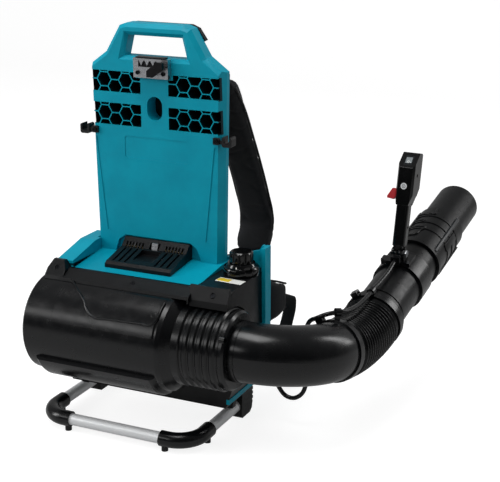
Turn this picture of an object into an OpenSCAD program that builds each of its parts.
// Backpack leaf blower: an axial fan in a drum across the bottom of a carrying frame, with
// a swivelling elbow, a ribbed hose, a nozzle and a control stick.
// Millimetres. X runs along the fan towards the outlet, +Y towards the wearer's back, +Z up.
// Sizes are from the ground below the middle of the plate's front face; the nodes are then
// placed with the middle of the whole machine's footprint at the origin.

/* [Back plate] */
// Half width of the plate at its rear edge
plate_half_w = 131; // [126:1:136]
// Width of the bevel along each side of the plate
plate_bevel = 6; // [4:1:10]
// Thickness of the plate moulding
plate_t = 30; // [28:1:34]
// Height of the plate's lower edge above the ground
plate_z0 = 292; // [290:1:294]
// Height of the plate's shoulders above the ground
shoulder_z = 631; // [628:1:640]
// Height of the top of the carrying handle above the ground
handle_top_z = 707; // [702:1:715]
// Height of the carrying handle's opening
handle_gap_h = 36; // [32:1:38]
// Half width of the handle's opening at its sill
handle_gap_w = 62; // [56:1:66]
// Side length of one honeycomb cell
cell_side = 14.5; // [12:0.5:16]
// Thickness of the webs between the honeycomb cells
cell_web = 1.8; // [1.4:0.1:2.6]

/* [Fan drum] */
// Distance of the fan's axis in front of the plate
fan_front = 105; // [103:1:107]
// Height of the fan's axis above the ground
fan_z = 182; // [181:1:183]
// Outer radius of the drum
drum_r = 89; // [87:0.5:89.5]
// Wall of the drum shells
drum_wall = 3; // [2.5:0.5:4]
// Half length of the drum's straight part, from the plate's centre line to the left
drum_left = 155; // [150:1:160]
// Bore radius of the fan duct
duct_r = 76; // [74:0.5:77]
// Number of blades on the fan
blade_count = 9; // [5:1:11]
// Number of vanes behind the fan
vane_count = 7; // [5:1:9]
// Radius of the motor shaft
shaft_r = 4; // [3:0.5:5]

/* [Outlet and elbow] */
// Number of ribs round the outlet collar
collar_ribs = 5; // [3:1:7]
// Outer radius of the elbow pipe
elbow_r = 52; // [50:0.5:53]
// Wall of the elbow pipe
elbow_wall = 3; // [2:0.5:4]
// Radius of the elbow's bend, on its centre line
elbow_bend = 120; // [115:1:125]
// Angle of the elbow's bend
elbow_turn = 83; // [82:0.5:84]
// Angle at which the elbow points below the horizontal at rest
elbow_dip = 9.5; // [9:0.5:10]

/* [Hose and nozzle] */
// Number of ribs on the flexible hose
hose_ribs = 10; // [8:1:14]
// Outer radius of the hose over its ribs
hose_r = 54.5; // [53.5:0.5:56]
// Outer radius of the swivel pipe
pipe_r = 46; // [45:0.5:46.5]
// Length of the swivel pipe beyond the hose
pipe_len = 212; // [205:1:220]
// Outer radius of the nozzle
nozzle_r = 44; // [42:0.5:44.5]
// Distance of the nozzle's mouth from the hose
nozzle_end = 447; // [430:1:460]
// Wall of the swivel pipe and the nozzle
pipe_wall = 2.5; // [2:0.5:3]

/* [Control stick] */
// Width of the control stick
stick_w = 30; // [28:0.5:32]
// Depth of the stick's grip
grip_d = 25; // [24:0.5:27]
// Height of the stick's top above its pivot
stick_h = 190; // [186:1:196]
// Angle at which the stick leans forward at rest
stick_lean = 12; // [10:1:14]
// Radius of the stick's pivot pin
pivot_r = 4; // [3.5:0.5:4.5]

/* [Stand] */
// Radius of the aluminium stand tube
tube_r = 10.5; // [10:0.5:11]
// Half width of the stand between the axes of its side tubes
stand_half_w = 150; // [148:1:152]
// Distance of the front tube in front of the plate
stand_front = 165; // [160:1:172]
// Bend radius of the stand's corners
stand_bend = 45; // [40:1:48]

/* [Harness] */
// Width of each shoulder pad
pad_w = 70; // [60:1:76]
// Thickness of each shoulder pad
pad_t = 22; // [18:1:24]
// Half distance between the shoulder pads' centre lines
pad_x = 93; // [90:1:96]
// Height of the hip belt
belt_h = 96; // [80:1:100]
// Thickness of the hip belt
belt_t = 16; // [12:1:18]
// Width of the harness webbing
web_w = 25; // [20:1:30]

/* [Hidden] */

$fn = 40;
drum_fn = 56;
pipe_fn = 44;

teal = "#0894A4";
black = "#1A1C20";
cloth_black = "#202226";
silver = "#C8CCD0";
steel = "#9A9EA2";
red = "#C83238";

gap = 0.3;          // between pieces that seat on each other
run = 0.05;         // radial clearance of a running fit
screw_r = 2;
eps = 0.01;

// Seats and levels
fan_y = -fan_front;
tray_front_y = -98;
tray_drop = 10;
tray_t = 8;
tray_z = plate_z0;
rear_wall_y = plate_t + 7;
rear_wall_t = 8;
rear_y = rear_wall_y + rear_wall_t;
base_left = -150;
base_right = 200;
base_right_low = 183;
housing_split_z = 120;
base_z = 62;
housing_x0 = 129;
housing_top_z = 285;
housing_front_y = -108;
housing_wall = 4;

footprint_middle = [105.5, 212.5, 0];

// ---------------------------------------------------------------- helpers

module placed() {
    translate(-footprint_middle) children();
}

// Children drawn in X and Z stand upright and reach from y0 to y0 + t
module upright(y0, t) {
    translate([0, y0 + t, 0]) rotate([90, 0, 0]) linear_extrude(t) children();
}

// Children drawn in Y and Z reach from x0 to x0 + t
module across(x0, t) {
    translate([x0, 0, 0]) rotate([90, 0, 90]) linear_extrude(t) children();
}

// Children with their axis along Z lie along the fan's axis, and Z becomes X
module on_fan_axis() {
    translate([0, fan_y, fan_z]) rotate([0, 90, 0]) children();
}

module fan_revolve(points, from = 0, turn = 360) {
    on_fan_axis() rotate([0, 0, from])
        rotate_extrude(angle = turn, $fn = drum_fn) polygon(points);
}

module tube(r, bore, h) {
    difference() {
        cylinder(r = r, h = h);
        translate([0, 0, -1]) cylinder(r = bore, h = h + 2);
    }
}

module mirrored() {
    children();
    mirror([1, 0, 0]) children();
}

module rounded_rect(x0, y0, x1, y1, r) {
    hull() for (x = [x0 + r, x1 - r], y = [y0 + r, y1 - r]) translate([x, y]) circle(r, $fn = 24);
}

// A button-head screw along -Z, its head's seat at z = 0
module screw(length, head_r = 4) {
    difference() {
        union() {
            translate([0, 0, -length]) cylinder(r = screw_r, h = length, $fn = 16);
            cylinder(r = head_r, h = 2.4, $fn = 20);
        }
        translate([0, 0, 1.2]) cylinder(r = 1.5, h = 2, $fn = 6);
    }
}

// A tube swept along points, or a flat strip where the section is flat
function unit(v) = v / norm(v);
function tangent(p, i) = unit(p[min(i + 1, len(p) - 1)] - p[max(i - 1, 0)]);
function ring_at(c, t, side, section) =
    let (u = unit(side - (side * t) * t), v = cross(t, u))
    [for (s = section) c + s[0] * u + s[1] * v];

module sweep(path, sections, side, from = undef, to = undef) {
    n = len(sections[0]);
    m = len(path);
    points = [for (i = [0:m - 1])
        let (t = i == 0 && from != undef ? from : i == m - 1 && to != undef ? to : tangent(path, i))
        each ring_at(path[i], t, side, sections[i])];
    skin = [for (i = [0:m - 2], k = [0:n - 1])
        let (a = i * n + k, b = i * n + (k + 1) % n) each [[a, a + n, b + n], [a, b + n, b]]];
    start = [for (k = [1:n - 2]) [0, k, k + 1]];
    last = (m - 1) * n;
    end = [for (k = [1:n - 2]) [last, last + k + 1, last + k]];
    polyhedron(concat(points), concat(skin, start, end));
}

function round_section(r, n) = [for (k = [0:n - 1]) r * [cos(360 * k / n), sin(360 * k / n)]];

// Half width w and half thickness t, with the corners drawn in
function pad_section(w, t, n = 16) = [for (k = [0:n - 1]) let (a = 360 * (k + 0.5) / n)
    [w * sign(cos(a)) * pow(abs(cos(a)), 0.5), t * sign(sin(a)) * pow(abs(sin(a)), 0.7)]];

// A point on a Catmull-Rom curve through the list, u from 0 to len - 1
function curve_at(p, u) =
    let (i = min(floor(u), len(p) - 2), f = u - i,
         a = p[max(i - 1, 0)], b = p[i], c = p[i + 1], d = p[min(i + 2, len(p) - 1)])
    0.5 * (2 * b + (c - a) * f + (2 * a - 5 * b + 4 * c - d) * f * f
        + (3 * b - a - 3 * c + d) * f * f * f);
function curve(p, steps) = [for (k = [0:steps]) curve_at(p, k * (len(p) - 1) / steps)];

// ---------------------------------------------------------------- back plate

front_half_w = plate_half_w - plate_bevel;
plate_taper = 6;
handle_bar = 21;
handle_shoulder = [98, 655];
handle_corner = [70, handle_top_z - 5];
handle_flat = 56;
gap_top_z = handle_top_z - handle_bar;
gap_sill_z = gap_top_z - handle_gap_h;
gap_top_w = handle_gap_w - 9;
edge_round = 4;
handle_round = 7;

window_in = 27.5;
window_out = front_half_w + 0.5;
window_upper = [585, 622];
window_lower = [526, 565];
bracket_half_w = 34;
bracket_z = [616, 650];
cable_slot_w = 30;
cable_slot_z = [540, 582];
hook_z = 515;
hook_x = front_half_w - 4;

module plate_outline(inset = 0) {
    offset(delta = -inset) polygon([
        [-plate_half_w + plate_taper, plate_z0], [plate_half_w - plate_taper, plate_z0],
        [plate_half_w, shoulder_z], handle_shoulder, handle_corner, [handle_flat, handle_top_z],
        [-handle_flat, handle_top_z], [-handle_corner[0], handle_corner[1]],
        [-handle_shoulder[0], handle_shoulder[1]], [-plate_half_w, shoulder_z]]);
}

module handle_gap(grow = 0) {
    offset(delta = grow) polygon([[-handle_gap_w, gap_sill_z], [handle_gap_w, gap_sill_z],
        [gap_top_w, gap_top_z], [-gap_top_w, gap_top_z]]);
}

// Hexagonal cells with a flat top, in columns half a cell apart in height
module honeycomb(x0, x1, z0, z1) {
    pitch_x = 1.5 * cell_side;
    pitch_z = sqrt(3) * cell_side;
    columns = ceil((x1 - x0) / pitch_x);
    rows = ceil((z1 - z0) / pitch_z);
    intersection() {
        translate([x0, z0]) square([x1 - x0, z1 - z0]);
        for (i = [0:columns], j = [0:rows])
            translate([x0 + 8 + i * pitch_x, z0 + 9 + (j - (i % 2) / 2) * pitch_z])
                circle(r = cell_side - cell_web / sqrt(3), $fn = 6);
    }
}

module side_bevel() {
    rise = shoulder_z - plate_z0;
    translate([plate_half_w - plate_taper, 0, plate_z0])
        rotate([0, atan(plate_taper / rise), 0])
        translate([0, 0, -20]) linear_extrude(rise + 40)
        polygon([[-plate_bevel, -1], [-plate_bevel, 0], [0, 20], [20, 20], [20, -1]]);
}

// Cuts the front edge from p to q back at 45 degrees, over it by e times c at each end
module edge_bevel(p, q, c, e = [1, 1]) {
    translate([p[0], 0, p[1]]) rotate([0, -atan2(q[1] - p[1], q[0] - p[0]), 0])
        translate([-c * e[0], 0, 0]) rotate([90, 0, 90])
        linear_extrude(norm(q - p) + (e[0] + e[1]) * c)
        polygon([[-1, -c - 1], [-1, 3], [c + 3, 3]]);
}

// Rounds the handle and the shoulders to the hand
module handle_bevels() {
    mirrored() {
        edge_bevel(handle_corner, handle_shoulder, handle_round, [1, 0.3]);
        edge_bevel([handle_flat, handle_top_z], handle_corner, handle_round);
        edge_bevel(handle_shoulder, [plate_half_w, shoulder_z], handle_round, [0.3, 1]);
    }
    edge_bevel([-handle_flat, handle_top_z], [handle_flat, handle_top_z], handle_round);
    hull() {
        upright(-1, 1) handle_gap(handle_round);
        upright(handle_round, eps) handle_gap();
    }
}

module back_frame() color(teal) placed() {
    difference() {
        upright(0, plate_t) difference() {
            plate_outline();
            handle_gap();
        }
        mirrored() side_bevel();
        handle_bevels();
        // Windows of the honeycomb panels
        upright(-1, plate_t + 2) mirrored() windows(window_rim);
        // Slot for routing a cable
        upright(-1, plate_t + 2) hull() for (z = cable_slot_z)
            translate([0, z + (z == cable_slot_z[0] ? 1 : -1) * cable_slot_w / 2])
                circle(cable_slot_w / 2);
        // Bare name field, a shallow recess
        upright(-1, 1.8) rounded_rect(-62, 468, 66, 508, 5);
        // Rim of the raised lower panel
        mirrored() upright(-1, 2.2) polygon([[front_half_w - 10, 500], [front_half_w - 8, 503],
            [front_half_w - 4, 503], [front_half_w - 22, 330], [front_half_w - 28, 330]]);
        // Flared recess for the battery dock
        upright(-1, dock_recess + 1) polygon([[-88, plate_z0 - 1], [88, plate_z0 - 1],
            [80, 314], [66, 324], [-66, 324], [-80, 314]]);
        // Ribbed bays behind the lower panel
        upright(dock_recess + 6, plate_t) for (i = [0:3], j = [0:2])
            translate([-116 + i * 59, 322 + j * 50]) square([55, 46]);
        // Screw holes for the bracket and the hooks
        for (x = [-1, 1]) {
            translate([x * latch_screw_x, -1, latch_screw_z]) rotate([-90, 0, 0])
                cylinder(r = screw_r + 0.05, h = 15, $fn = 16);
            translate([x * hook_x, -1, hook_z]) rotate([-90, 0, 0])
                cylinder(r = screw_r + 0.05, h = 15, $fn = 16);
        }
    }
}
dock_recess = 8;

// Outline of the four windows, clear of the latch bracket
window_rim = 1.6;
module windows(grow = 0) {
    offset(delta = grow) difference() {
        for (z = [window_upper, window_lower])
            translate([window_in, z[0]]) square([window_out - window_in, z[1] - z[0]]);
        translate([0, bracket_z[0] - 3]) square([bracket_half_w + 3, 60]);
    }
}

// Honeycomb webs that fill the windows, open to the cover behind them
module honeycomb_panels() color(teal) placed() {
    mirrored() difference() {
        upright(0, plate_t) difference() {
            windows(window_rim);
            intersection() {
                windows();
                union() {
                    honeycomb(window_in, window_out, window_upper[0], window_upper[1]);
                    honeycomb(window_in, window_out, window_lower[0], window_lower[1]);
                }
            }
        }
        side_bevel();
    }
}

// Black cover screwed to the plate's rear, behind the windows
cover_t = rear_wall_y - plate_t - gap;
module back_cover() color(black) placed() {
    upright(plate_t, cover_t) difference() {
        polygon([[-120, plate_z0 + 22], [120, plate_z0 + 22], [128.5, shoulder_z - 6],
            [100, 640], [-100, 640], [-128.5, shoulder_z - 6]]);
        for (z = [350, 430]) rounded_rect(-70, z, 70, z + 50, 8);
    }
}

// Soft insert let into the rear of the handle bar
insert_t = 9;
module handle_insert() color(black) placed() {
    upright(plate_t, insert_t) polygon([[-52, gap_top_z + 3], [60, gap_top_z + 3],
        [72, gap_top_z - 12], [86, gap_top_z - 5], [handle_corner[0] + 2, handle_corner[1] - 1],
        [handle_flat + 2, handle_top_z - 0.5], [-52, handle_top_z - 0.5]]);
}

// ---------------------------------------------------------------- latch

bracket_t = 2;
bracket_deep = 12;
latch_screw_x = 25;
latch_screw_z = bracket_z[0] + 9;
latch_slot = [-24, 22];
latch_pitch = (latch_slot[1] - latch_slot[0]) / 4;
lever_pivot = [8, -bracket_deep - 6, bracket_z[0] + 12];
latch_pin_r = 1.5;

module latch_bracket() color(silver) placed() {
    difference() {
        union() {
            upright(-bracket_deep, bracket_t) difference() {
                translate([-bracket_half_w, bracket_z[0]])
                    square([2 * bracket_half_w, bracket_z[1] - bracket_z[0]]);
                // Wide slot below a row of pointed teeth
                difference() {
                    translate([latch_slot[0], bracket_z[1] - 15])
                        square([latch_slot[1] - latch_slot[0], 11]);
                    for (i = [0:3]) translate([latch_slot[0] + (i + 0.5) * latch_pitch, bracket_z[1] - 3])
                        polygon([[-5, 0], [5, 0], [0, -9.5]]);
                }
            }
            // Side flanges bent back to the plate
            for (x = [-bracket_half_w, bracket_half_w - bracket_t])
                translate([x, -bracket_deep, bracket_z[0]])
                    cube([bracket_t, bracket_deep, bracket_z[1] - bracket_z[0]]);
            // Ears of the lever's pin
            for (x = [-8, 6.5]) translate(lever_pivot + [x, 0, 0]) {
                translate([0, 0, -4]) cube([1.5, 6 + eps, 8]);
                rotate([0, 90, 0]) cylinder(r = 4, h = 1.5, $fn = 24);
            }
        }
        for (x = [-1, 1]) translate([x * latch_screw_x, -bracket_deep - 1, latch_screw_z])
            rotate([-90, 0, 0]) cylinder(r = screw_r + 0.2, h = 5, $fn = 16);
        translate([lever_pivot[0] - 10, lever_pivot[1], lever_pivot[2]]) rotate([0, 90, 0])
            cylinder(r = latch_pin_r, h = 20, $fn = 16);
    }
}

// Dark block behind the slot, with a lip over the bracket's top edge
module latch_backing() color(black) placed() {
    upright(gap - bracket_deep + bracket_t, bracket_deep - bracket_t - gap)
        translate([latch_slot[0] - 3, bracket_z[1] - 18])
        square([latch_slot[1] - latch_slot[0] + 6, 18 + eps]);
    upright(-bracket_deep - 1.5, bracket_deep + 1.5) translate([6 - bracket_half_w, bracket_z[1]])
        square([2 * bracket_half_w - 12, 2.6]);
}

module latch_pin() color(steel) placed() {
    translate([lever_pivot[0] - 9, lever_pivot[1], lever_pivot[2]]) rotate([0, 90, 0])
        cylinder(r = latch_pin_r, h = 18, $fn = 16);
}

// Release lever, turning between the ears
module latch_lever() color(black) placed() {
    translate(lever_pivot) difference() {
        union() {
            translate([-6.2, 0, 0]) rotate([0, 90, 0]) cylinder(r = 4, h = 12.4, $fn = 24);
            translate([-6.2, -5, -3]) cube([12.4, 5, 6]);
            // Arm that slants up to the thumb piece
            upright(-7.4, 3) polygon([[-9, -8], [3, -8], [24, 7], [24, 18], [10, 18], [-9, 3]]);
            upright(-11, 5) polygon([[8, 8], [24, 8], [24, 19], [8, 19]]);
        }
        translate([-12, 0, 0]) rotate([0, 90, 0])
            cylinder(r = latch_pin_r + run, h = 24, $fn = 16);
    }
}

// Screws of the bracket, the lead hooks and the cover strip
module frame_screws() {
    latch_screws();
    hook_screws();
    cover_screws();
}

module latch_screws() color(steel) placed() {
    for (x = [-1, 1]) translate([x * latch_screw_x, -bracket_deep, latch_screw_z])
        rotate([90, 0, 0]) screw(bracket_deep + 10, 3.6);
}

// Hooks on the plate's sides that hold a battery lead
hook_t = 5;
module cord_hooks() color(black) placed() {
    mirrored() difference() {
        union() {
            upright(-hook_t, hook_t) rounded_rect(hook_x - 6, hook_z - 6, hook_x + 6, hook_z + 6, 2);
            upright(-3, 3) translate([hook_x, hook_z - 5]) square([plate_half_w + 3 - hook_x, 7]);
            upright(-hook_t, 18) difference() {
                rounded_rect(plate_half_w + 1, hook_z - 9, plate_half_w + 20, hook_z + 9, 4);
                rounded_rect(plate_half_w + 5, hook_z - 4, plate_half_w + 16, hook_z + 14, 3);
            }
        }
        translate([hook_x, -hook_t - 1, hook_z]) rotate([-90, 0, 0])
            cylinder(r = screw_r + 0.2, h = hook_t + 2, $fn = 16);
    }
}

module hook_screws() color(steel) placed() {
    for (x = [-1, 1]) translate([x * hook_x, -hook_t, hook_z]) rotate([90, 0, 0])
        screw(hook_t + 10);
}

// ---------------------------------------------------------------- battery dock

dock_half_w = 66;
dock_front_y = -76;
dock_h = 11;
shroud_t = 16;
tongue_half_w = 6;
// Height of the tray's surface at a distance y in front of the plate
function tray_at(y) = tray_z + min(0, y) * tray_drop / -tray_front_y;

module dock_base() color(black) placed() {
    difference() {
        across(-dock_half_w, 2 * dock_half_w) polygon([
            [dock_front_y, tray_at(dock_front_y)], [-shroud_t - 1, tray_at(-shroud_t - 1)],
            [-shroud_t - 1, tray_at(-shroud_t - 1) + dock_h + 6],
            [dock_front_y + 6, tray_at(dock_front_y) + dock_h],
            [dock_front_y, tray_at(dock_front_y) + dock_h - 4]]);
        // Guide grooves
        for (x = [-54, -42, -30, 30, 42, 54]) translate([x - 2, dock_front_y + 9, tray_z + 2.5])
            cube([4, 48, 20]);
        translate([-20, dock_front_y + 20, tray_z + 6]) cube([40, 36, 20]);
    }
}

// Upright block behind the ramp, with comb slots either side of the tongue
module dock_shroud() color(black) placed() {
    difference() {
        across(-dock_half_w, 2 * dock_half_w) polygon([
            [-shroud_t, tray_at(-shroud_t)], [0, tray_z], [dock_recess - gap, tray_z],
            [dock_recess - gap, 320], [-2, 322], [-shroud_t, 308]]);
        for (i = [0:5], side = [-1, 1])
            translate([side * (24 + i * 6.5) - 1.6, -shroud_t - 1, 301]) cube([3.2, 9, 30]);
        translate([-tongue_half_w - 4, -shroud_t - 1, 297]) cube([2 * tongue_half_w + 8, 11, 40]);
    }
}

module dock_terminals() color(steel) placed() {
    for (i = [0:5], side = [-1, 1])
        translate([side * (24 + i * 6.5) - 0.6, -shroud_t + 2, 301]) cube([1.2, 5, 9]);
}

module dock_tongue() color(silver) placed() {
    across(-tongue_half_w, 2 * tongue_half_w) polygon([[-shroud_t + 1, 297],
        [-shroud_t + 9.5, 297], [-shroud_t + 9.5, 318], [-shroud_t + 6, 318]]);
}

// ---------------------------------------------------------------- base frame and housings

module rail(a, b, size_a, size_b) {
    hull() {
        translate(a) cube(size_a);
        translate(b) cube(size_b);
    }
}

gusset_x = -118;
module base_frame() color(teal) placed() {
    // Sloping tray
    across(gusset_x, housing_x0 - gap - gusset_x) polygon([
        [tray_front_y, tray_z - tray_drop], [0, tray_z], [rear_y, tray_z],
        [rear_y, tray_z - tray_t], [0, tray_z - tray_t], [tray_front_y, tray_z - tray_drop - tray_t]]);
    // Rear wall
    upright(rear_wall_y, rear_wall_t) polygon([[base_left, base_z + 10], [base_right_low, base_z + 10],
        [base_right + 2, 145], [base_right + 2, 322], [base_right - 10, 326], [base_right - 16, 316],
        [housing_x0, 300], [housing_x0, tray_z + 4], [gusset_x, tray_z + 4], [gusset_x, 310],
        [base_left + 8, 312], [base_left, 300]]);
    // Left cheek beside the tray
    difference() {
        across(base_left, gusset_x - base_left) polygon([[tray_front_y, tray_z - tray_drop - tray_t],
            [tray_front_y, 295], [-20, 312], [rear_wall_y + 1, 312], [rear_wall_y + 1, 276]]);
        translate([base_left + 8, tray_front_y - 1, 240]) cube([60, 200, 50]);
        upright(-gap, plate_t + 2 * gap) plate_outline(-gap);
    }
    // Left end wall behind the drum
    difference() {
        across(base_left, rear_wall_t) polygon([[-60, 255], [-60, 290], [rear_wall_y + 1, 290],
            [rear_wall_y + 1, base_z + 10], [-40, base_z + 10], [-20, 120], [-6, 182]]);
        on_fan_axis() translate([0, 0, -200]) cylinder(r = drum_r + 1, h = 400, $fn = drum_fn);
    }
    // Right edge rail
    rail([base_right_low - 4, -88, base_z + 8], [base_right_low - 4, rear_wall_y, base_z + 8],
        [6, 2, 9], [6, 8, 9]);
    rail([base_right_low - 4, 17, base_z + 8], [base_right - 1, 17, 145], [6, 28, 9], [7, 28, 9]);
    rail([base_right - 1, 17, 145], [base_right - 1, 14, 318], [7, 21.5, 9], [7, 24.5, 10]);
    // Hook of the rail over the housing
    rail([base_right - 11, 22, 302], [base_right - 2, 20, 312], [6, 16, 9], [6, 18, 12]);
}

// Lower housing below and behind the drum, with a bay for the controller
controller = [90, 56, 34];
controller_at = [-70, -44, 70];
module fan_space(r, x0, x1) {
    on_fan_axis() translate([0, 0, x0]) cylinder(r = r, h = x1 - x0, $fn = drum_fn);
}

module lower_housing() color(black) placed() {
    difference() {
        upright(-88, 88 + rear_wall_y - gap) polygon([[-136, base_z], [base_right_low - 5, base_z],
            [base_right_low + 14, housing_split_z], [-136, housing_split_z]]);
        fan_space(drum_r + gap, -220, 127);
        fan_space(belly_r + 1, -drum_left, 96);
        fan_space(74 + gap, 126, 230);
        // Tub below the drum, with a platform for the controller
        difference() {
            upright(-88 + housing_wall, 88 + rear_wall_y - gap - 2 * housing_wall) polygon([
                [-132, base_z + housing_wall], [base_right_low - 10, base_z + housing_wall],
                [base_right_low - 2, housing_split_z + 1], [-132, housing_split_z + 1]]);
            translate(controller_at - [4, 4, 8]) cube([controller[0] + 8, controller[1] + 8, 8]);
            difference() {
                for (x = [-96, 40, 110]) translate([x, -90, base_z]) cube([3, 140, 70]);
                fan_space(panel_r + 1, -220, 127);
            }
        }
        translate([-200, -70, base_z - 1]) cube([64.5, 120, 20]);
        // Clear of the frame's right rail
        translate([base_right_low - 4.3, -89, base_z + 7.7]) cube([60, 140, 9.6]);
        rail([base_right_low - 4.3, 16.7, base_z + 7.7], [base_right - 1.3, 16.7, 144.7],
            [60, 60, 9.6], [60, 60, 9.6]);
    }
}

module controller_box() color(steel) placed() {
    difference() {
        translate(controller_at) cube(controller);
        for (i = [0:6]) translate(controller_at + [6 + i * 12, -1, controller[2] - 8])
            cube([6, controller[1] + 2, 9]);
    }
}

// Right housing over and behind the outlet
module right_housing() color(black) placed() {
    difference() {
        across(housing_x0, base_right - 1.3 - housing_x0) polygon([
            [housing_front_y, housing_split_z + 70], [housing_front_y, housing_top_z - 6],
            [housing_front_y + 6, housing_top_z], [rear_wall_y - gap, housing_top_z],
            [rear_wall_y - gap, housing_split_z], [-60, housing_split_z]]);
        fan_space(74 + gap, 120, 230);
        rail([base_right_low - 4.3, 16.7, base_z + 7.7], [base_right - 1.3, 16.7, 144.7],
            [60, 60, 9.6], [60, 60, 9.6]);
        rail([base_right - 1.3, 16.7, 144.7], [base_right - 1.3, 13.7, 330],
            [60, 60, 9.6], [60, 60, 9.6]);
        // Taper towards the ground
        translate([base_right_low + 14, -200, housing_split_z]) rotate([0, 25, 0])
            translate([0, 0, -60]) cube([60, 300, 100]);
        // Hollow behind the walls, open towards the outlet
        across(housing_x0 + housing_wall, base_right - 1.3 - 2 * housing_wall - housing_x0) polygon([
            [housing_front_y + housing_wall, housing_split_z + 74],
            [housing_front_y + housing_wall, housing_top_z - 8],
            [housing_front_y + 8, housing_top_z - housing_wall],
            [rear_wall_y - gap - housing_wall, housing_top_z - housing_wall],
            [rear_wall_y - gap - housing_wall, housing_split_z + 40], [-50, housing_split_z + 40]]);
        gland_bore();
    }
    // Gland of the control cable
    difference() {
        translate([base_right - 5, gland_y, gland_z]) rotate([0, 90, 0])
            cylinder(r1 = gland_r, r2 = gland_r - 1.2, h = 12, $fn = 24);
        gland_bore();
    }
}

module gland_bore() {
    translate([base_right - 12, gland_y, gland_z]) rotate([0, 90, 0])
        cylinder(r = cable_r + gap, h = 40, $fn = 24);
}

// Cover strip along the front edge of the tray
strip_back_y = tray_front_y - gap;
module strip_section() {
    polygon([[strip_back_y, 262], [strip_back_y, 284], [strip_back_y - 7, 284.5],
        [strip_back_y - 30, 273], [strip_back_y - 34, 262]]);
}

cover_screw_at = [[-139, -114, 284], [15, -116, 277.5], [170, -117, 277]];
module top_cover() color(black) placed() {
    difference() {
        union() {
            across(-130, housing_x0 - gap + 130) strip_section();
            intersection() {
                across(-159, 40) polygon([[strip_back_y, 262], [strip_back_y, 297],
                    [strip_back_y - 8, 298], [strip_back_y - 29, 274], [strip_back_y - 34, 262]]);
                upright(-160, 100) polygon([[-159, 262], [-119, 262], [-121, 284], [-131, 299],
                    [-151, 299], [-158, 284]]);
            }
            across(housing_x0 - 4, base_right - 1.3 - housing_x0 + 4) polygon([
                [housing_front_y - gap, 256], [housing_front_y - gap, 291],
                [housing_front_y - 5, 292], [housing_front_y - 15, 268], [housing_front_y - 15, 256]]);
        }
        fan_space(drum_r + gap, -220, 127);
        fan_space(74 + gap, 126, 230);
        for (p = cover_screw_at) translate(p) rotate([45, 0, 0]) {
            cylinder(r = 4.6, h = 30, $fn = 20);
            translate([0, 0, -4]) cylinder(r = screw_r + 0.1, h = 10, $fn = 16);
        }
    }
}

module cover_screws() color(steel) placed() {
    for (p = cover_screw_at) translate(p) rotate([45, 0, 0]) screw(3.8, 3.9);
}

// ---------------------------------------------------------------- drum and fan

drum_right = 96;
shoulder_r = 74;
collar_x = 125;
drum_profile = [[drum_r, -drum_left], [drum_r, drum_right], [drum_r - 2, drum_right + 7],
    [drum_r - 9, drum_right + 16], [shoulder_r, drum_right + 22], [shoulder_r, collar_x],
    [shoulder_r - drum_wall, collar_x], [shoulder_r - drum_wall, drum_right + 20],
    [drum_r - 11.5, drum_right + 14], [drum_r - drum_wall - 2, drum_right + 5.5],
    [drum_r - drum_wall, drum_right - 1], [drum_r - drum_wall, -drum_left]];
panel_r = drum_r + 2.2;
belly_r = drum_r + 8;

module drum_upper() color(black) placed() {
    fan_revolve(drum_profile, 90, 180);
    // Raised front panel
    fan_revolve([[drum_r - 1, -112], [panel_r, -108], [panel_r, 90], [drum_r - 1, 94]], 202, 48);
}

module drum_lower() color(black) placed() {
    fan_revolve(drum_profile, 270, 180);
    // Raised belly
    fan_revolve([[drum_r - 1, 8 - drum_left], [belly_r - 2, 14 - drum_left], [belly_r, 18 - drum_left],
        [belly_r, 84], [belly_r - 2, 88], [drum_r - 1, 93]], 297, 76);
}

ring_r = drum_r - 1;
ring_x = -drum_left - 14;
module intake_ring() color(black) placed() {
    fan_revolve([[80, ring_x], [ring_r - 4, ring_x], [ring_r, ring_x + 4], [ring_r, -drum_left],
        [80, -drum_left]]);
}

module intake_grille() color(black) placed() {
    on_fan_axis() translate([0, 0, ring_x + 3]) {
        tube(80 - gap, 75, 6);
        cylinder(r = 16, h = 4);
        for (r = [28, 40, 52, 64]) tube(r + 1.2, r - 1.2, 3);
        for (i = [0:11]) rotate([0, 0, 30 * i]) translate([14, -1.5, 0]) cube([62, 3, 5]);
    }
}

pod_r = 30;
motor_r = 27;
vane_x = [-40, 10];
outlet_bore = 58;
module fan_duct() color(black) placed() {
    fan_revolve([[duct_r, -drum_left + 4], [duct_r, 40], [outlet_bore, 118],
        [outlet_bore, collar_x - gap], [outlet_bore + drum_wall, collar_x - gap],
        [outlet_bore + drum_wall, 119], [duct_r + drum_wall, 42], [duct_r + drum_wall, -drum_left + 4]]);
    // Seating rings in the drum
    on_fan_axis() {
        for (x = [-drum_left + 4, 20]) translate([0, 0, x])
            tube(drum_r - drum_wall - gap, duct_r + 1, 5, $fn = drum_fn);
        translate([0, 0, -62]) tube(pod_r, motor_r + gap, 82);
        for (i = [0:vane_count - 1]) rotate([0, 0, i * 360 / vane_count])
            translate([pod_r - 1, 0, (vane_x[0] + vane_x[1]) / 2]) rotate([-14, 0, 0])
            translate([0, -1.25, -25]) cube([duct_r - pod_r + 2, 2.5, 50]);
    }
}

module motor() color(steel) placed() {
    difference() {
        on_fan_axis() translate([0, 0, -58]) cylinder(r = motor_r, h = 70);
        on_fan_axis() translate([0, 0, -60]) cylinder(r = shaft_r + run, h = 60, $fn = 24);
        on_fan_axis() for (i = [0:11]) rotate([0, 0, 30 * i])
            translate([motor_r - 2, -1.5, -46]) cube([4, 3, 46]);
    }
}

module tail_cone() color(black) placed() {
    fan_revolve([[0, 20], [pod_r, 20], [pod_r - 3, 36], [pod_r - 11, 52], [7, 68], [0, 71]]);
}

module rotor_shaft() color(steel) placed() {
    on_fan_axis() translate([0, 0, -108]) cylinder(r = shaft_r, h = 106, $fn = 24);
}

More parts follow.
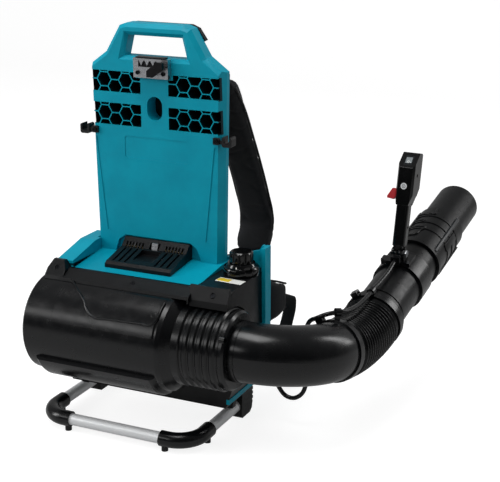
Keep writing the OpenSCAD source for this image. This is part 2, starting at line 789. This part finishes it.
rotor_x = -84;
blade_chord = 34;
blade_gap = 1.6;
module fan_rotor() color(black) placed() {
    fan_revolve([[shaft_r, -106], [12, -110], [22, -104], [pod_r, -92], [pod_r, -64],
        [shaft_r, -64]]);
    blade_tip = sqrt(pow(duct_r - blade_gap, 2) - 100);
    on_fan_axis() for (i = [0:blade_count - 1]) rotate([0, 0, i * 360 / blade_count])
        translate([28, 0, rotor_x]) rotate([35, 0, 0])
        translate([0, -1.25, -blade_chord / 2]) cube([blade_tip - 28, 2.5, blade_chord]);
}

// ---------------------------------------------------------------- outlet

collar_r = 70;
rib_rise = 3;
collar_end = 203;
guide_x = 150;
rib_pitch = (collar_end - collar_x - 14) / collar_ribs;
function collar_rib(i) = let (x = collar_x + 12 + i * rib_pitch)
    [[collar_r, x], [collar_r + rib_rise, x + 3], [collar_r + rib_rise, x + rib_pitch - 5],
     [collar_r, x + rib_pitch - 2]];

module outlet_collar() color(black) placed() {
    fan_revolve(concat(
        [[outlet_bore, collar_x], [shoulder_r, collar_x], [shoulder_r, collar_x + 5],
         [collar_r, collar_x + 8]],
        [for (i = [0:collar_ribs - 1]) each collar_rib(i)],
        [[collar_r, collar_end], [collar_r - 4, collar_end], [collar_r - 4, guide_x + 5],
         [elbow_r + 3, guide_x + 5], [elbow_r + 3, collar_end], [elbow_r + run, collar_end],
         [elbow_r + run, guide_x], [outlet_bore, guide_x]]));
}

ring_end = collar_end + 10;
module collar_ring() color(black) placed() {
    difference() {
        union() {
            fan_revolve([[elbow_r + 1, collar_end], [collar_r - 1, collar_end],
                [collar_r - 1, ring_end - 4], [collar_r - 5, ring_end], [elbow_r + 1, ring_end]]);
            on_fan_axis() rotate([0, 0, 235]) translate([collar_r - 5, 0, collar_end])
                cylinder(r = 7, h = 9, $fn = 24);
        }
        on_fan_axis() rotate([0, 0, 235]) translate([collar_r - 5, 0, collar_end + 4])
            cylinder(r = 3.4, h = 9, $fn = 20);
    }
}

// ---------------------------------------------------------------- twist cap

cap_at = [170, -7];
boss_r = 32;
cap_r = 21;
neck_r = 12;
boss_h = 21;
cap_z = housing_top_z + boss_h + gap;
cap_h = 20;
module socket_boss() color(black) placed() {
    translate([cap_at[0], cap_at[1], housing_top_z]) difference() {
        union() {
            rotate_extrude() polygon([[0, 0], [boss_r, 0], [boss_r, 12], [boss_r - 2, 15],
                [boss_r - 5, 15.5], [boss_r - 8, boss_h], [0, boss_h]]);
            cylinder(r = neck_r, h = boss_h + 12);
        }
        for (a = [200, 320]) rotate([0, 0, a]) translate([boss_r - 6.3, -7, 11]) cube([20, 14, 20]);
    }
}

module socket_cap() color(black) placed() {
    translate([cap_at[0], cap_at[1], cap_z]) difference() {
        rotate_extrude() polygon([[0, 0], [cap_r, 0], [cap_r, cap_h - 3], [cap_r - 3, cap_h],
            [0, cap_h]]);
        translate([0, 0, -1]) cylinder(r = neck_r + run, h = 13);
        for (i = [0:11]) rotate([0, 0, 30 * i + 15]) translate([cap_r + 1.2, 0, 3])
            cylinder(r = 2.4, h = 20, $fn = 16);
    }
}

// ---------------------------------------------------------------- stand

tube_z = 22;
corner_r = tube_r + 3.5;
tube_rear = 36;
tube_wall = 1.5;

module stand_path(r, side_from, side_to, front_to) {
    // One corner: side tube, bend and half of the front tube
    translate([stand_half_w, side_from, tube_z]) rotate([-90, 0, 0])
        cylinder(r = r, h = side_to - side_from);
    translate([stand_half_w - stand_bend, -stand_front + stand_bend, tube_z])
        rotate([0, 0, -90]) rotate_extrude(angle = 90) translate([stand_bend, 0]) circle(r);
    translate([front_to, -stand_front, tube_z]) rotate([0, 90, 0])
        cylinder(r = r, h = stand_half_w - stand_bend - front_to);
}

module stand_tube() color(silver) placed() {
    difference() {
        mirrored() stand_path(tube_r, -stand_front + stand_bend, tube_rear, -eps);
        mirrored() for (y = [0]) {
            translate([stand_half_w, -stand_front + stand_bend, tube_z]) rotate([-90, 0, 0])
                cylinder(r = tube_r - tube_wall, h = 300);
        }
    }
}

corner_side = 22;
corner_front = 14;
module stand_corners() color(black) placed() {
    mirrored() difference() {
        union() {
            stand_path(corner_r, -stand_front + stand_bend, -stand_front + stand_bend + corner_side,
                stand_half_w - stand_bend - corner_front);
            // Foot nubs
            for (p = [[stand_half_w - stand_bend - corner_front + 7, -stand_front],
                      [stand_half_w, -stand_front + stand_bend + corner_side - 7]])
                translate([p[0], p[1], 0]) cylinder(r = 6, h = tube_z - tube_r - 1.2, $fn = 24);
        }
        stand_path(tube_r, -stand_front + stand_bend, -stand_front + stand_bend + 60,
            stand_half_w - stand_bend - 60);
    }
}

// Short rubber lugs below the housing
module base_lugs() color(black) placed() {
    for (p = [[-132, -66, 18], [-104, -62, 22], [152, -58, 26]])
        upright(p[1], 14) polygon([[p[0], base_z], [p[0] + p[2], base_z], [p[0] + p[2] - 2, base_z - 13],
            [p[0] + 2, base_z - 13]]);
}

// Arched rubber feet at the rear, which close the tube's ends
foot_w = 28;
module rear_feet() color(black) placed() {
    mirrored() difference() {
        translate([stand_half_w - foot_w / 2, 0, 0]) rotate([90, 0, 90]) linear_extrude(foot_w)
            polygon([[6, 4], [10, 0], [42, 0], [50, 6], [55, 24], [55, 46], [48, base_z + 10 - gap],
                [rear_wall_y, base_z + 10 - gap], [rear_wall_y, base_z - gap], [12, base_z - gap],
                [8, 40]]);
        translate([stand_half_w, 0, tube_z]) rotate([-90, 0, 0])
            cylinder(r = tube_r + run, h = tube_rear + gap);
        for (i = [0:4]) translate([stand_half_w - foot_w, 51.5, 10 + i * 9]) cube([2 * foot_w, 9, 3.5]);
    }
}

// ---------------------------------------------------------------- elbow

bend_x = 221;
cuff_len = 24;
cuff_r = 47.2;
insert_x = 141;

module elbow_plane() {
    translate([bend_x, fan_y, fan_z]) rotate([-elbow_dip, 0, 0]) children();
}

// Frame at the elbow's outlet: +Y is the direction of the air
module elbow_outlet() {
    elbow_plane() translate([elbow_bend * sin(elbow_turn), elbow_bend * (1 - cos(elbow_turn)), 0])
        rotate([0, 0, -(90 - elbow_turn)]) children();
}

module along_y() {
    rotate([-90, 0, 0]) children();
}

module elbow_pipe() color(black) placed() {
    bore = elbow_r - elbow_wall;
    difference() {
        union() {
            on_fan_axis() translate([0, 0, insert_x]) cylinder(r = elbow_r, h = bend_x - insert_x, $fn = pipe_fn);
            on_fan_axis() translate([0, 0, insert_x]) cylinder(r = outlet_bore - 2, h = 8, $fn = pipe_fn);
            elbow_plane() translate([0, elbow_bend, 0]) rotate([0, 0, -90])
                rotate_extrude(angle = elbow_turn, $fn = 72) translate([elbow_bend, 0]) circle(elbow_r, $fn = pipe_fn);
            // Stop bead outside the collar
            on_fan_axis() translate([0, 0, bend_x - 4]) cylinder(r = elbow_r + 1.2, h = 7, $fn = pipe_fn);
        }
        on_fan_axis() translate([0, 0, insert_x - 1]) cylinder(r = bore + 0.4, h = bend_x - insert_x + 3, $fn = pipe_fn);
        elbow_plane() translate([0, elbow_bend, 0]) rotate([0, 0, -90])
            rotate_extrude(angle = elbow_turn, $fn = 72) translate([elbow_bend, 0]) circle(bore, $fn = pipe_fn);
    }
    // Step down to the cuff that the hose is clamped on
    elbow_outlet() along_y() rotate_extrude($fn = pipe_fn) polygon([
        [cuff_r - elbow_wall, -3], [elbow_r - 1, -3], [elbow_r - 1, 0], [cuff_r, 0],
        [cuff_r, cuff_len], [cuff_r - elbow_wall, cuff_len]]);
}

// ---------------------------------------------------------------- hose

// Outlet of the elbow and inlet of the swivel pipe, with the air's direction at each
function elbow_dir(x, y) = [x, y * cos(elbow_dip), -y * sin(elbow_dip)];
hose_in = [bend_x, fan_y, fan_z]
    + elbow_dir(elbow_bend * sin(elbow_turn), elbow_bend * (1 - cos(elbow_turn)));
hose_in_dir = elbow_dir(cos(elbow_turn), sin(elbow_turn));
pipe_at = [356, 178, 172];
pipe_yaw = 3;
pipe_pitch = 14;
pipe_dir = [sin(pipe_yaw) * cos(pipe_pitch), cos(pipe_yaw) * cos(pipe_pitch), sin(pipe_pitch)];

hose_sides = 28;
hose_bore = (cuff_r + 0.1) / cos(180 / hose_sides);
hose_groove = 51;
hose_cuff_r = 52;
hose_cuff = 25;
hose_a = hose_in + 0.5 * hose_in_dir;
hose_d = pipe_at - 0.5 * pipe_dir;
cuff_part = 0.14;
rib_part = (1 - 2 * cuff_part) / hose_ribs;
function bezier(a, b, c, d, t) = let (s = 1 - t)
    s * s * s * a + 3 * s * s * t * b + 3 * s * t * t * c + t * t * t * d;
function bezier_dir(a, b, c, d, t) = let (s = 1 - t)
    unit(s * s * (b - a) + 2 * s * t * (c - b) + t * t * (d - c));
// Centre line from 0 to 1, straight in the cuffs and bent between them
hose_curve = [hose_a + hose_cuff * hose_in_dir, hose_a + (hose_cuff + 40) * hose_in_dir,
    hose_d - (hose_cuff + 40) * pipe_dir, hose_d - hose_cuff * pipe_dir];
function hose_u(t) = (t - cuff_part) / (1 - 2 * cuff_part);
function hose_point(t) = t < cuff_part ? hose_a + hose_cuff * t / cuff_part * hose_in_dir
    : t > 1 - cuff_part ? hose_d - hose_cuff * (1 - t) / cuff_part * pipe_dir
    : bezier(hose_curve[0], hose_curve[1], hose_curve[2], hose_curve[3], hose_u(t));
function hose_tangent(t) = t < cuff_part ? hose_in_dir : t > 1 - cuff_part ? pipe_dir
    : bezier_dir(hose_curve[0], hose_curve[1], hose_curve[2], hose_curve[3], hose_u(t));
// Stations along the hose, each with its outer radius: a flat cuff, ribs, a flat cuff
hose_stations = concat([[0, hose_cuff_r], [cuff_part - 0.01, hose_cuff_r]],
    [for (i = [0:hose_ribs - 1]) each [[cuff_part + rib_part * (i + 0.06), hose_groove],
        [cuff_part + rib_part * (i + 0.32), hose_r], [cuff_part + rib_part * (i + 0.62), hose_r],
        [cuff_part + rib_part * (i + 0.88), hose_groove]]],
    [[1 - cuff_part + 0.01, hose_cuff_r], [1, hose_cuff_r]]);

module flexible_hose() color(black) placed() {
    outer = [for (s = hose_stations) each
        ring_at(hose_point(s[0]), hose_tangent(s[0]), [0, 0, 1], round_section(s[1], hose_sides))];
    bore_t = concat([0, cuff_part], [for (k = [1:6]) cuff_part + (1 - 2 * cuff_part) * k / 7],
        [1 - cuff_part, 1]);
    inner = [for (t = bore_t) each
        ring_at(hose_point(t), hose_tangent(t), [0, 0, 1], round_section(hose_bore, hose_sides))];
    n = hose_sides;
    mo = len(hose_stations);
    mi = len(bore_t);
    base = mo * n;
    skin_out = [for (i = [0:mo - 2], k = [0:n - 1])
        let (a = i * n + k, b = i * n + (k + 1) % n) each [[a, a + n, b + n], [a, b + n, b]]];
    skin_in = [for (i = [0:mi - 2], k = [0:n - 1])
        let (a = base + i * n + k, b = base + i * n + (k + 1) % n) each [[a, b + n, a + n], [a, b, b + n]]];
    lip_a = [for (k = [0:n - 1]) let (a = k, b = (k + 1) % n)
        each [[a, b, base + b], [a, base + b, base + a]]];
    last_o = (mo - 1) * n;
    last_i = base + (mi - 1) * n;
    lip_b = [for (k = [0:n - 1]) let (a = k, b = (k + 1) % n)
        each [[last_o + a, last_i + b, last_o + b], [last_o + a, last_i + a, last_i + b]]];
    polyhedron(concat(outer, inner), concat(skin_out, skin_in, lip_a, lip_b));
}

// A band clamp round the hose's cuff, with a screw lug and a cable clip
clamp_w = 14;
clamp_t = 3;
clip_r = 5.4;
clip_len = 10;
module hose_clamp(rise, turn) {
    band = hose_cuff_r + gap;
    difference() {
        union() {
            along_y() tube(band + clamp_t, band, clamp_w, $fn = pipe_fn);
            // Screw lug
            rotate([0, -34, 0]) translate([-7, 1, band + 1]) cube([14, clamp_w - 2, 10]);
            // Clip on top for the control cable
            translate([0, clamp_w / 2, band + clamp_t + clip_r - 0.5 + rise]) rotate([0, 0, turn]) {
                along_y() translate([0, 0, -clip_len / 2]) cylinder(r = clip_r + 2, h = clip_len, $fn = 24);
                translate([-3.5, -4, -clip_r - rise - 2]) cube([7, 8, rise + 2]);
            }
        }
        along_y() translate([0, 0, -1]) cylinder(r = band, h = clamp_w + 2, $fn = pipe_fn);
        translate([0, clamp_w / 2, band + clamp_t + clip_r - 0.5 + rise]) rotate([0, 0, turn])
            along_y() translate([0, 0, -10]) cylinder(r = clip_r, h = 20, $fn = 24);
        rotate([0, -34, 0]) translate([0, clamp_w / 2, band + 7]) rotate([0, 90, 0])
            translate([0, 0, -8]) cylinder(r = screw_r, h = 16, $fn = 16);
    }
}

module hose_clamp_inner() color(black) placed() {
    elbow_outlet() translate([0, 3, 0]) hose_clamp(7.8, -40);
}

module pipe_frame() {
    translate(pipe_at) rotate([0, 0, -pipe_yaw]) rotate([pipe_pitch, 0, 0]) children();
}

module hose_clamp_outer() color(black) placed() {
    pipe_frame() translate([0, -clamp_w - 3, 0]) hose_clamp(0, 0);
}

// ---------------------------------------------------------------- swivel pipe and nozzle

bead = 3;
module swivel_pipe() color(black) placed() {
    pipe_frame() along_y() difference() {
        union() {
            translate([0, 0, -cuff_len]) cylinder(r = cuff_r, h = cuff_len, $fn = pipe_fn);
            cylinder(r = pipe_r, h = pipe_len, $fn = pipe_fn);
            tube(hose_cuff_r, pipe_r - 1, 8, $fn = pipe_fn);
            translate([0, 0, 18]) tube(pipe_r + 1.5, pipe_r - 1, 3, $fn = pipe_fn);
        }
        translate([0, 0, -cuff_len - 1]) cylinder(r = pipe_r - pipe_wall, h = pipe_len + cuff_len + 2, $fn = pipe_fn);
        // Bayonet seat at the nozzle end
        translate([0, 0, pipe_len - 16]) tube(pipe_r + 2, pipe_r - 0.8, 17, $fn = pipe_fn);
    }
}

band_t0 = 108;
band_t1 = 158;
band_r = pipe_r + 5;
ear_gap = stick_w / 2 - 6;
ear_t = 4;
pivot_h = band_r + 13;
pivot_t = 126;
cable_boss_h = band_r + 7;
function pipe_point(t, h) = pipe_at + t * pipe_dir
    + h * [-sin(pipe_yaw) * sin(pipe_pitch), -cos(pipe_yaw) * sin(pipe_pitch), cos(pipe_pitch)];
pivot_at = pipe_point(pivot_t, pivot_h);

module stick_band() color(black) placed() {
    pipe_frame() difference() {
        union() {
            along_y() translate([0, 0, band_t0]) tube(band_r, pipe_r + gap, band_t1 - band_t0, $fn = pipe_fn);
            // Saddle and ears of the stick's pivot
            translate([-26, band_t0 + 2, band_r - 4]) cube([52, 34, 6]);
            for (x = [-ear_gap - ear_t, ear_gap]) {
                translate([x, pivot_t, pivot_h]) rotate([0, 90, 0]) cylinder(r = 10, h = ear_t, $fn = 32);
                translate([x, pivot_t - 10, band_r - 3]) cube([ear_t, 20, pivot_h - band_r + 3]);
            }
            // Screw lug of the clamp
            translate([-37, band_t0 + 14, band_r - 24]) cube([12, 16, 20]);
            // Boss that the control cable ends in
            translate([-9, band_t0 - 4, band_r - 3]) cube([18, 10, 18]);
        }
        along_y() translate([0, 0, band_t0 - 1]) cylinder(r = pipe_r + gap, h = band_t1 - band_t0 + 2, $fn = pipe_fn);
        translate([-40, pivot_t, pivot_h]) rotate([0, 90, 0]) cylinder(r = pivot_r, h = 80, $fn = 24);
        translate([0, band_t0 - 5, cable_boss_h]) along_y() cylinder(r = cable_r + gap, h = 7.5, $fn = 24);
    }
}

module pivot_pin() color(steel) placed() {
    pipe_frame() translate([0, pivot_t, pivot_h]) rotate([0, 90, 0]) {
        translate([0, 0, -ear_gap - ear_t - 1]) cylinder(r = pivot_r, h = 2 * (ear_gap + ear_t) + 2, $fn = 24);
        translate([0, 0, ear_gap + ear_t]) cylinder(r = 7, h = 3, $fn = 6);
    }
}

// The nozzle pushes over the swivel pipe's end and locks with a twist
sleeve_t0 = pipe_len - 14;
sleeve_t1 = 340;
sleeve_r = nozzle_r + 5;
socket_r = pipe_r - 0.8;
module nozzle_pipe() color(black) placed() {
    pipe_frame() along_y() difference() {
        union() {
            translate([0, 0, sleeve_t0]) cylinder(r = sleeve_r, h = sleeve_t1 - sleeve_t0, $fn = pipe_fn);
            cylinder_from(sleeve_t1 - 1, nozzle_end, nozzle_r);
            cylinder_from(sleeve_t0, sleeve_t0 + 9, sleeve_r + 2.5);
            // Raised ribs and long bars on the sleeve
            for (t = [250, 276, 302]) cylinder_from(t, t + 3, sleeve_r + 1.5);
            for (a = [35, 130, 230, 325]) rotate([0, 0, a])
                translate([sleeve_r - 3, -2.5, sleeve_t0 + 20]) cube([6.5, 5, 105]);
        }
        cylinder_from(sleeve_t0 - 1, pipe_len + gap, socket_r + run);
        cylinder_from(pipe_len, nozzle_end + 1, nozzle_r - pipe_wall);
    }
}

module cylinder_from(t0, t1, r) {
    translate([0, 0, t0]) cylinder(r = r, h = t1 - t0, $fn = pipe_fn);
}

// ---------------------------------------------------------------- control stick

// Frame at the pivot: +Z runs up the stick
module stick_frame() {
    translate(pivot_at) rotate([0, 0, -pipe_yaw]) rotate([-stick_lean, 0, 0]) children();
}

head_z = stick_h - 94;
stick_front = -14;
stick_back = stick_front + grip_d;
head_back = 38;
head_half = stick_w / 2 + 2;
grip_half = stick_w / 2 - 2.6;
face_foot = [stick_front, stick_h - 28];
face_top = [stick_front + 25, stick_h];
face_tilt = atan2(face_top[1] - face_foot[1], face_top[0] - face_foot[0]);
face_mid = (face_foot + face_top) / 2;
trigger_z = head_z - 12;
trigger_pin_at = [4, head_z - 4];
trigger_pin_r = 2;
trigger_w = 12;
lever_at = [3.5, head_z + 20];
button_at = [0, head_z + 31];
button_r = 6;
lever_stub_r = 3.4;

// Side view of the head, with the slanted display face
module head_profile() {
    offset(r = 1.2) offset(delta = -1.2) polygon([face_foot, face_top, [face_top[0] + 10, stick_h],
        [head_back - 4, stick_h - 7], [head_back, stick_h - 15], [head_back - 2, stick_h - 41],
        [head_back - 9, stick_h - 62], [stick_back + 2, head_z + 11], [stick_back - 1, head_z - 5],
        [stick_front, head_z - 5]]);
}

// Head seen from above, with its long edges cut back
module head_plan() {
    offset(r = 1.5) offset(delta = -1.5) polygon([[-head_half, stick_front + 6],
        [-head_half + 4, stick_front], [head_half - 4, stick_front], [head_half, stick_front + 6],
        [head_half, head_back - 12], [head_half - 9, head_back], [-head_half + 9, head_back],
        [-head_half, head_back - 12]]);
}

module stick_head() {
    intersection() {
        across(-head_half, 2 * head_half) head_profile();
        linear_extrude(2 * stick_h) head_plan();
        upright(-60, 160) polygon([[-head_half - 1, 2 * stick_h], [head_half + 1, 2 * stick_h],
            [head_half + 1, head_z + 18], [grip_half - 0.6, head_z - 6],
            [0.6 - grip_half, head_z - 6], [-head_half - 1, head_z + 18]]);
    }
}

module stick_grip() {
    intersection() {
        across(-grip_half, 2 * grip_half) polygon([[stick_front + 4, 6], [stick_front + 0.4, 16],
            [stick_front + 0.4, head_z + 9], [stick_back, head_z + 7], [stick_back - 1, 22],
            [stick_back - 5, 12], [6, 2], [-6, 2]]);
        translate([0, 0, -20]) linear_extrude(2 * stick_h) hull()
            for (x = [-1, 1], y = [stick_front + 7.4, stick_back - 7])
                translate([x * (grip_half - 7), y]) circle(7, $fn = 32);
    }
}

module stick_body() {
    difference() {
        union() {
            difference() {
                union() {
                    stick_head();
                    stick_grip();
                }
                // Fork clearance at the pivot
                for (x = [-1, 1]) translate([x > 0 ? ear_gap - gap : -ear_gap + gap - 40, -40, -20])
                    cube([40, 80, 34]);
            }
            rotate([0, 90, 0]) translate([0, 0, gap - ear_gap])
                cylinder(r = 9.5, h = 2 * (ear_gap - gap), $fn = 32);
        }
        rotate([0, 90, 0]) translate([0, 0, -30]) cylinder(r = pivot_r + run, h = 60, $fn = 24);
        // Trigger bay
        translate([-trigger_w / 2 - gap, -2, trigger_z - 26]) cube([trigger_w + 2 * gap, 40, 38]);
        translate([-stick_w, trigger_pin_at[0], trigger_pin_at[1]]) rotate([0, 90, 0])
            cylinder(r = trigger_pin_r, h = 2 * stick_w, $fn = 20);
        // Bore of the cruise lever's stub on the left
        translate([-head_half - 1, lever_at[0], lever_at[1]]) rotate([0, 90, 0])
            cylinder(r = lever_stub_r + run, h = 8, $fn = 24);
        // Power button
        translate([button_at[0], stick_front - 1, button_at[1]]) along_y()
            cylinder(r = button_r + run, h = 7, $fn = 28);
        // Display window in the slanted face
        translate([0, face_mid[0], face_mid[1]]) rotate([face_tilt, 0, 0])
            translate([-9, -12.5, -1.8]) cube([18, 25, 6]);
        // Seat of a housing screw on the right
        translate([head_half - 3, 6, stick_h - 42]) rotate([0, 90, 0])
            cylinder(r = 3.2, h = 5, $fn = 20);
        translate([grip_half - 2, -2, 50]) rotate([0, 90, 0]) cylinder(r = 2.6, h = 4, $fn = 20);
    }
}

module stick_shell_left() color(black) placed() {
    stick_frame() intersection() {
        stick_body();
        translate([-60, -60, -30]) cube([60, 160, 300]);
    }
}

module stick_shell_right() color(black) placed() {
    stick_frame() difference() {
        stick_body();
        translate([-60, -60, -30]) cube([60, 160, 300]);
    }
}

module trigger() color(black) placed() {
    stick_frame() difference() {
        across(-trigger_w / 2, trigger_w) polygon([[0, head_z - 8], [0, head_z - 1.5], [9, head_z - 0.5],
            [stick_back + 5, trigger_z - 2], [stick_back + 8, trigger_z - 16],
            [stick_back + 5, trigger_z - 20], [6, trigger_z - 12]]);
        translate([-stick_w, trigger_pin_at[0], trigger_pin_at[1]]) rotate([0, 90, 0])
            cylinder(r = trigger_pin_r + run, h = 2 * stick_w, $fn = 20);
    }
}

module trigger_pin() color(steel) placed() {
    stick_frame() translate([-10, trigger_pin_at[0], trigger_pin_at[1]]) rotate([0, 90, 0])
        cylinder(r = trigger_pin_r, h = 20, $fn = 20);
}

// Cruise lever on the left, turning on a stub
module lock_lever() color(red) placed() {
    stick_frame() translate([-head_half, lever_at[0], lever_at[1]]) {
        translate([-5, 0, 0]) rotate([0, 90, 0]) cylinder(r = lever_stub_r, h = 11, $fn = 24);
        across(-4, 4 - gap) circle(5.2, $fn = 28);
        upright(-4.6, 9) polygon([[-1.5, 4], [-10, 4.5], [-19, -11], [-19, -15], [-6, -16.5],
            [-2, -10]]);
    }
}

module power_button() color(silver) placed() {
    stick_frame() translate([button_at[0], stick_front - 1.5, button_at[1]]) along_y()
        cylinder(r = button_r, h = 5, $fn = 28);
}

module display_lens() color(steel) placed() {
    stick_frame() translate([0, face_mid[0], face_mid[1]]) rotate([face_tilt, 0, 0])
        translate([-8.7, -12.2, -1.8]) cube([17.4, 24.4, 1.4]);
}

// ---------------------------------------------------------------- control cable

cable_r = 4;
gland_r = 7;
gland_y = 6;
gland_z = 170;
cable_sides = 10;

// Route from the right housing, in a hanging loop below the elbow, up to the first clip
lower_route = [[193, gland_y, gland_z], [200, gland_y, gland_z], [208, gland_y, gland_z],
    [217, 7, 166.5], [223, 10, 155], [225, 14, 130], [225, 18, 96], [232, 21, 68], [250, 22, 53],
    [270, 22, 59], [283, 22, 84], [286, 22, 120], [283, 22, 160], [283, 22, 190], [291, 15, 207],
    [308, 6, 219], [326, 8, 228], [341, 20, 230]];
mid_route = [[341, 20, 230], [347, 26, 230], [352, 42, 228], [354, 64, 225.5], [355, 100, 224],
    [355, 140, 226.6], [355, 154, 228.6]];
upper_route = [[355, 154, 228.6], [355.3, 162, 230], [358, 200, 236], [360, 235, 244],
    pipe_point(band_t0 - 8, cable_boss_h), pipe_point(band_t0 + 1, cable_boss_h)];
// Directions where one length meets the next
inner_clip_dir = unit([6, 6, 0.3]);
outer_clip_dir = unit([0.3, 8, 1.4]);

module cable(route, steps, from = undef, to = undef) {
    path = curve(route, steps);
    sweep(path, [for (p = path) round_section(cable_r, cable_sides)], [1, 0.2, 0.3], from, to);
}

module control_cable_lower() color(black) placed() {
    cable(lower_route, 36, [1, 0, 0], inner_clip_dir);
}

module control_cable_mid() color(black) placed() {
    cable(mid_route, 14, inner_clip_dir, outer_clip_dir);
}

module control_cable_upper() color(black) placed() {
    cable(upper_route, 12, outer_clip_dir, pipe_dir);
}

// ---------------------------------------------------------------- harness

pad_route = [[40, 610], [62, 598], [100, 553], [138, 492], [174, 430], [204, 372], [224, 326],
    [224, 300], [206, 268]];
pad_steps = 22;

module shoulder_pad(x) {
    path = curve([for (p = pad_route) [x, p[0], p[1]]], pad_steps);
    sweep(path, [for (i = [0:pad_steps]) let (end = min(i, pad_steps - i))
        pad_section(pad_w / 2 * (end == 0 ? 0.62 : end == 1 ? 0.88 : 1),
            pad_t / 2 * (end == 0 ? 0.5 : end == 1 ? 0.85 : 1))], [1, 0, 0]);
}

module shoulder_pad_left() color(cloth_black) placed() {
    shoulder_pad(-pad_x);
}

module shoulder_pad_right() color(cloth_black) placed() {
    shoulder_pad(pad_x);
}

// Back cushion with a channel down the middle
pad_half_w = 104;
back_pad_z = [330, 584];
back_pad_t = 26;
pad_columns = 16;
pad_rows = 14;
function bulge(u) = pow(max(0, sin(180 * u)), 0.45);
function pad_swell(u, v) = bulge(u) * bulge(v) * (1 - 0.45 * exp(-pow((u - 0.5) / 0.07, 2)));
function pad_draw_in(v) = 1 - 0.05 * pow(abs(2 * v - 1), 3) - 0.03 * (1 - pow(2 * v - 1, 2));
function pad_spot(i, j, front) = let (u = i / pad_columns, v = j / pad_rows)
    [(2 * u - 1) * pad_half_w * pad_draw_in(v),
     rear_wall_y + (front ? 4 + back_pad_t * pad_swell(u, v) : 0),
     back_pad_z[0] + v * (back_pad_z[1] - back_pad_z[0])];
module back_pad() color(cloth_black) placed() {
    columns = pad_columns;
    rows = pad_rows;
    n = columns + 1;
    m = rows + 1;
    points = concat([for (j = [0:rows], i = [0:columns]) pad_spot(i, j, true)],
        [for (j = [0:rows], i = [0:columns]) pad_spot(i, j, false)]);
    face = [for (j = [0:rows - 1], i = [0:columns - 1]) let (a = j * n + i)
        each [[a, a + n, a + n + 1], [a, a + n + 1, a + 1]]];
    back = [for (f = face) [f[0] + n * m, f[2] + n * m, f[1] + n * m]];
    rim = concat([for (i = [0:columns]) i], [for (j = [1:rows]) j * n + columns],
        [for (i = [1:columns]) rows * n + columns - i], [for (j = [1:rows - 1]) (rows - j) * n]);
    edge = [for (k = [0:len(rim) - 1]) let (a = rim[k], b = rim[(k + 1) % len(rim)])
        each [[a, b, b + n * m], [a, b + n * m, a + n * m]]];
    polyhedron(points, concat(face, back, edge));
}

// Hip belt round the rear of the base, its wings reaching forward
belt_z = 205;
belt_route = [[-196, 128], [-186, 96], [-160, 70], [-110, 56], [-50, 53.2], [0, 53.2], [50, 53.2],
    [110, 56], [160, 70], [186, 96], [196, 128]];
belt_steps = 30;
module hip_belt() color(cloth_black) placed() {
    path = curve([for (p = belt_route) [p[0], p[1], belt_z]], belt_steps);
    sweep(path, [for (i = [0:belt_steps]) let (end = min(i, belt_steps - i))
        pad_section(belt_h / 2 * (end < 6 ? 0.5 + end / 12 : 1), belt_t / 2 * (end == 0 ? 0.6 : 1))],
        [0, 0, 1]);
}

web_t = 2;
module strap(route, steps, side = [1, 0, 0], from = undef) {
    path = curve(route, steps);
    flat = [[-web_w / 2, -web_t / 2], [web_w / 2, -web_t / 2], [web_w / 2, web_t / 2], [-web_w / 2, web_t / 2]];
    sweep(path, [for (p = path) flat], side, from);
}

// Webbing from the pads back to the base, and the ends of the hip belt's strap
buckle_at = [pad_x, 196, 250];
buckle_turn = -119;
buckle = [34, 22, 5];
buckle_end = (buckle[1] / 2 + 0.3) * [0, cos(buckle_turn), sin(buckle_turn)];
module harness_webbing() color(cloth_black) placed() {
    mirrored() {
        strap([buckle_at - 1.75 * buckle_end, buckle_at - buckle_end], 2);
        strap([buckle_at + 1.02 * buckle_end, [pad_x + 4, 178, 240], [pad_x + 9, 150, 256],
            [pad_x + 14, 110, 276], [pad_x + 18, 70, 287], [pad_x + 18, rear_y + 0.3, 288]], 14,
            [1, 0, 0], unit(buckle_end));
        strap([[196.1, 128.35, 205], [199, 138, 203], [198, 147, 184], [192, 147, 150],
            [185, 143, 118], [180, 140, 96]], 10, [1, 0, 0], unit([10, 32, 0]));
    }
}

module strap_buckles() color(black) placed() {
    mirrored() {
        // Ladder lock at the end of each pad
        translate(buckle_at) rotate([buckle_turn, 0, 0]) difference() {
            translate(-buckle / 2) cube(buckle);
            for (y = [-7, 2.5]) translate([-13, y, -5]) cube([26, 4.5, 10]);
        }
        // Halves of the belt's buckle
        translate([180, 138.6, 93]) rotate([20, 0, 0]) translate([-17, -5, -34]) cube([34, 10, 34]);
    }
}

// ---------------------------------------------------------------- nodes

back_frame();
honeycomb_panels();
back_cover();
latch_backing();
frame_screws();
handle_insert();
latch_bracket();
latch_lever();
latch_pin();
cord_hooks();
dock_base();
dock_shroud();
dock_terminals();
dock_tongue();
base_frame();
lower_housing();
controller_box();
right_housing();
top_cover();
drum_upper();
drum_lower();
intake_ring();
intake_grille();
fan_duct();
motor();
tail_cone();
rotor_shaft();
fan_rotor();
outlet_collar();
collar_ring();
socket_boss();
socket_cap();
stand_tube();
stand_corners();
base_lugs();
rear_feet();
elbow_pipe();
hose_clamp_inner();
flexible_hose();
hose_clamp_outer();
swivel_pipe();
stick_band();
pivot_pin();
stick_shell_left();
stick_shell_right();
trigger();
trigger_pin();
lock_lever();
power_button();
display_lens();
nozzle_pipe();
control_cable_lower();
control_cable_mid();
control_cable_upper();
back_pad();
shoulder_pad_left();
shoulder_pad_right();
harness_webbing();
strap_buckles();
hip_belt();
